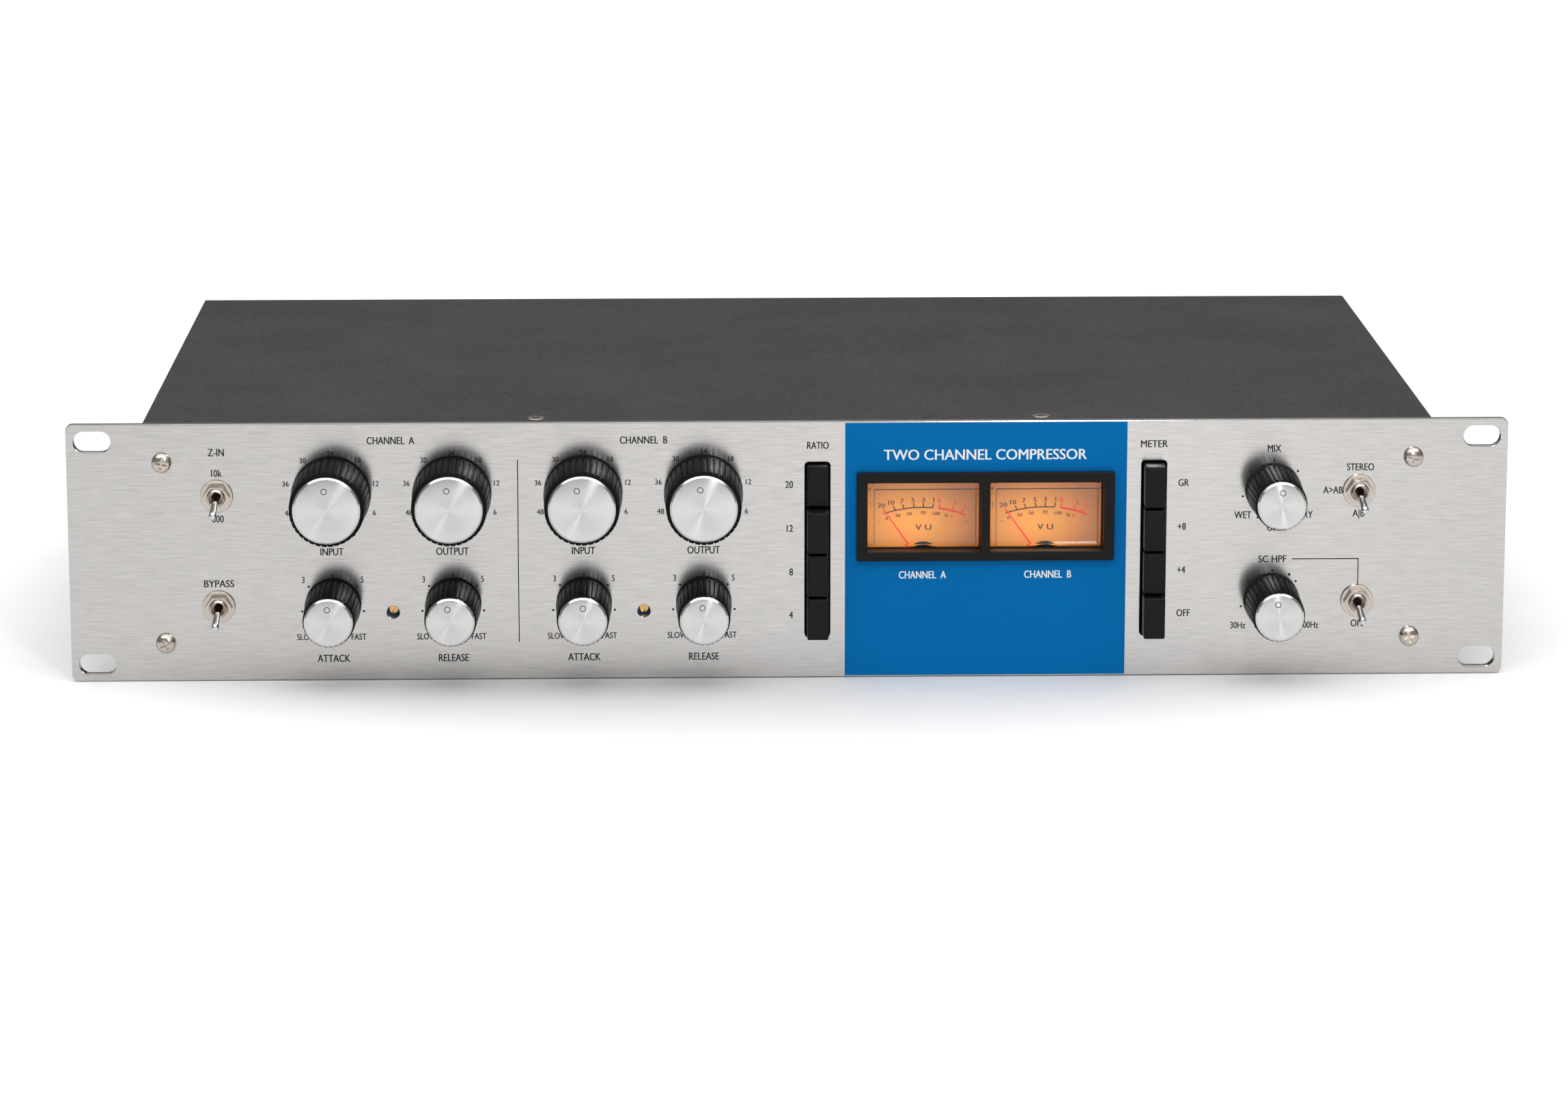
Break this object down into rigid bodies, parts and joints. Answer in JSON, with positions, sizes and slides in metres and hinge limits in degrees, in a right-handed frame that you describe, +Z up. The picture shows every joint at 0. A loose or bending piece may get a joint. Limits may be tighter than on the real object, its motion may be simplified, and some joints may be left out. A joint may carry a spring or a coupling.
{
  "type": "rack compressor",
  "caption": "Two-unit rack audio compressor: brushed panel with fluted knobs, toggles, push buttons and twin lit meters on a dark folded case.",
  "frame": {"origin": "middle of the footprint on the surface it stands on, level with the panel's lower edge", "axes": "+X to the right as the front panel is read, +Y from the front panel to the rear, +Z up"},
  "size_m": [0.4826, 0.2586, 0.088],
  "materials": {
    "brushed_aluminium": "horizontally brushed, clear, warm grey, with a satin blue painted field",
    "powder_coat": "fine-textured dark grey powder coat",
    "nickel": "bright nickel plate",
    "chrome": "polished",
    "knob_plastic": "black fluted plastic with a spun aluminium cap",
    "black_plastic": "satin black",
    "clear_window": "clear moulded window",
    "amber_dial": "back-lit amber, printed",
    "red_needle": "satin red",
    "brass": "machined",
    "circuit_board": "solder-masked laminate",
    "core_steel": "lacquered core"
  },
  "bodies": {
    "chassis": {"front_panel": "brushed_aluminium", "panel_screw_left_lower": "nickel", "panel_screw_left_upper": "nickel", "panel_screw_right_lower": "nickel", "panel_screw_right_upper": "nickel", "chassis_tray": "powder_coat", "top_cover": "powder_coat", "rear_panel": "powder_coat", "control_board": "circuit_board", "blend_board": "circuit_board", "main_board": "circuit_board", "mains_transformer": "core_steel", "transformer_input_a": "core_steel", "transformer_output_a": "core_steel", "transformer_input_b": "core_steel", "transformer_output_b": "core_steel", "switch_impedance": "nickel", "switch_bypass": "nickel", "switch_link": "nickel", "switch_filter": "nickel", "ratio_switch_bank": "black_plastic", "meter_switch_bank": "black_plastic", "meter_bezel": "black_plastic", "meter_case_a": "black_plastic", "meter_case_b": "black_plastic", "meter_window_a": "clear_window", "meter_window_b": "clear_window", "meter_dial_a": "amber_dial", "meter_dial_b": "amber_dial", "mains_inlet": "black_plastic", "xlr_output_b": "nickel", "xlr_input_b": "nickel", "xlr_output_a": "nickel", "xlr_input_a": "nickel"},
    "knob_input_a": {"knob_input_a": "knob_plastic"},
    "knob_output_a": {"knob_output_a": "knob_plastic"},
    "knob_attack_a": {"knob_attack_a": "knob_plastic"},
    "knob_release_a": {"knob_release_a": "knob_plastic"},
    "knob_input_b": {"knob_input_b": "knob_plastic"},
    "knob_output_b": {"knob_output_b": "knob_plastic"},
    "knob_attack_b": {"knob_attack_b": "knob_plastic"},
    "knob_release_b": {"knob_release_b": "knob_plastic"},
    "knob_mix": {"knob_mix": "knob_plastic"},
    "knob_filter": {"knob_filter": "knob_plastic"},
    "lever_impedance": {"lever_impedance": "chrome"},
    "lever_bypass": {"lever_bypass": "chrome"},
    "lever_link": {"lever_link": "chrome"},
    "lever_filter": {"lever_filter": "chrome"},
    "ratio_button_20": {"ratio_button_20": "black_plastic"},
    "ratio_button_12": {"ratio_button_12": "black_plastic"},
    "ratio_button_8": {"ratio_button_8": "black_plastic"},
    "ratio_button_4": {"ratio_button_4": "black_plastic"},
    "meter_button_gr": {"meter_button_gr": "black_plastic"},
    "meter_button_plus8": {"meter_button_plus8": "black_plastic"},
    "meter_button_plus4": {"meter_button_plus4": "black_plastic"},
    "meter_button_off": {"meter_button_off": "black_plastic"},
    "needle_a": {"needle_a": "red_needle"},
    "needle_b": {"needle_b": "red_needle"},
    "trimmer_screw_a": {"trimmer_screw_a": "brass"},
    "trimmer_screw_b": {"trimmer_screw_b": "brass"}
  },
  "joints": [
    {"name": "knob_input_a_turn", "type": "hinge", "parent": "chassis", "child": "knob_input_a", "pos_m": [-0.15335, -0.10525, 0.0635], "axis": [0, 1, 0], "range_deg": [-144.4, 155.6]},
    {"name": "knob_output_a_turn", "type": "hinge", "parent": "chassis", "child": "knob_output_a", "pos_m": [-0.11305, -0.10525, 0.0635], "axis": [0, 1, 0], "range_deg": [-144.2, 155.8]},
    {"name": "knob_attack_a_turn", "type": "hinge", "parent": "chassis", "child": "knob_attack_a", "pos_m": [-0.15335, -0.10525, 0.0255], "axis": [0, 1, 0], "range_deg": [-145.5, 154.5]},
    {"name": "knob_release_a_turn", "type": "hinge", "parent": "chassis", "child": "knob_release_a", "pos_m": [-0.11305, -0.10525, 0.0255], "axis": [0, 1, 0], "range_deg": [-139.2, 160.8]},
    {"name": "knob_input_b_turn", "type": "hinge", "parent": "chassis", "child": "knob_input_b", "pos_m": [-0.06915, -0.10525, 0.0635], "axis": [0, 1, 0], "range_deg": [-136.1, 163.9]},
    {"name": "knob_output_b_turn", "type": "hinge", "parent": "chassis", "child": "knob_output_b", "pos_m": [-0.02885, -0.10525, 0.0635], "axis": [0, 1, 0], "range_deg": [-139.8, 160.2]},
    {"name": "knob_attack_b_turn", "type": "hinge", "parent": "chassis", "child": "knob_attack_b", "pos_m": [-0.06915, -0.10525, 0.0255], "axis": [0, 1, 0], "range_deg": [-151, 149]},
    {"name": "knob_release_b_turn", "type": "hinge", "parent": "chassis", "child": "knob_release_b", "pos_m": [-0.02885, -0.10525, 0.0255], "axis": [0, 1, 0], "range_deg": [-142.8, 157.2]},
    {"name": "knob_mix_turn", "type": "hinge", "parent": "chassis", "child": "knob_mix", "pos_m": [0.1627, -0.10525, 0.0635], "axis": [0, 1, 0], "range_deg": [-152.6, 147.4]},
    {"name": "knob_filter_turn", "type": "hinge", "parent": "chassis", "child": "knob_filter", "pos_m": [0.1627, -0.10525, 0.0255], "axis": [0, 1, 0], "range_deg": [-141.6, 158.4]},
    {"name": "lever_impedance_tilt", "type": "hinge", "parent": "chassis", "child": "lever_impedance", "pos_m": [-0.1915, -0.10705, 0.0635], "axis": [-1, 0, 0], "range_deg": [0, 28]},
    {"name": "lever_bypass_tilt", "type": "hinge", "parent": "chassis", "child": "lever_bypass", "pos_m": [-0.1915, -0.10705, 0.0255], "axis": [-1, 0, 0], "range_deg": [0, 28]},
    {"name": "lever_link_tilt", "type": "hinge", "parent": "chassis", "child": "lever_link", "pos_m": [0.1915, -0.10705, 0.0635], "axis": [-1, 0, 0], "range_deg": [0, 28]},
    {"name": "lever_filter_tilt", "type": "hinge", "parent": "chassis", "child": "lever_filter", "pos_m": [0.1915, -0.10705, 0.0255], "axis": [-1, 0, 0], "range_deg": [0, 28]},
    {"name": "ratio_button_20_press", "type": "slide", "parent": "chassis", "child": "ratio_button_20", "axis": [0, 1, 0], "range_m": [-0.0051, 0]},
    {"name": "ratio_button_12_press", "type": "slide", "parent": "chassis", "child": "ratio_button_12", "axis": [0, 1, 0], "range_m": [0, 0.0054]},
    {"name": "ratio_button_8_press", "type": "slide", "parent": "chassis", "child": "ratio_button_8", "axis": [0, 1, 0], "range_m": [0, 0.0049]},
    {"name": "ratio_button_4_press", "type": "slide", "parent": "chassis", "child": "ratio_button_4", "axis": [0, 1, 0], "range_m": [0, 0.0051]},
    {"name": "meter_button_gr_press", "type": "slide", "parent": "chassis", "child": "meter_button_gr", "axis": [0, 1, 0], "range_m": [0, 0.0043]},
    {"name": "meter_button_plus8_press", "type": "slide", "parent": "chassis", "child": "meter_button_plus8", "axis": [0, 1, 0], "range_m": [0, 0.0042]},
    {"name": "meter_button_plus4_press", "type": "slide", "parent": "chassis", "child": "meter_button_plus4", "axis": [0, 1, 0], "range_m": [0, 0.0036]},
    {"name": "meter_button_off_press", "type": "slide", "parent": "chassis", "child": "meter_button_off", "axis": [0, 1, 0], "range_m": [0, 0.0062]},
    {"name": "needle_a_swing", "type": "hinge", "parent": "chassis", "child": "needle_a", "pos_m": [0.0452, -0.09755, 0.0372], "axis": [0, 1, 0], "range_deg": [0, 76], "stiffness_Nm_per_rad": 0.00002},
    {"name": "needle_b_swing", "type": "hinge", "parent": "chassis", "child": "needle_b", "pos_m": [0.0864, -0.09755, 0.0372], "axis": [0, 1, 0], "range_deg": [0, 76], "stiffness_Nm_per_rad": 0.00002},
    {"name": "trimmer_screw_a_turn", "type": "hinge", "parent": "chassis", "child": "trimmer_screw_a", "pos_m": [-0.1332, -0.10025, 0.0233], "axis": [0, 1, 0], "range_deg": [-135, 135]},
    {"name": "trimmer_screw_b_turn", "type": "hinge", "parent": "chassis", "child": "trimmer_screw_b", "pos_m": [-0.049, -0.10025, 0.0233], "axis": [0, 1, 0], "range_deg": [-135, 135]}
  ]
}
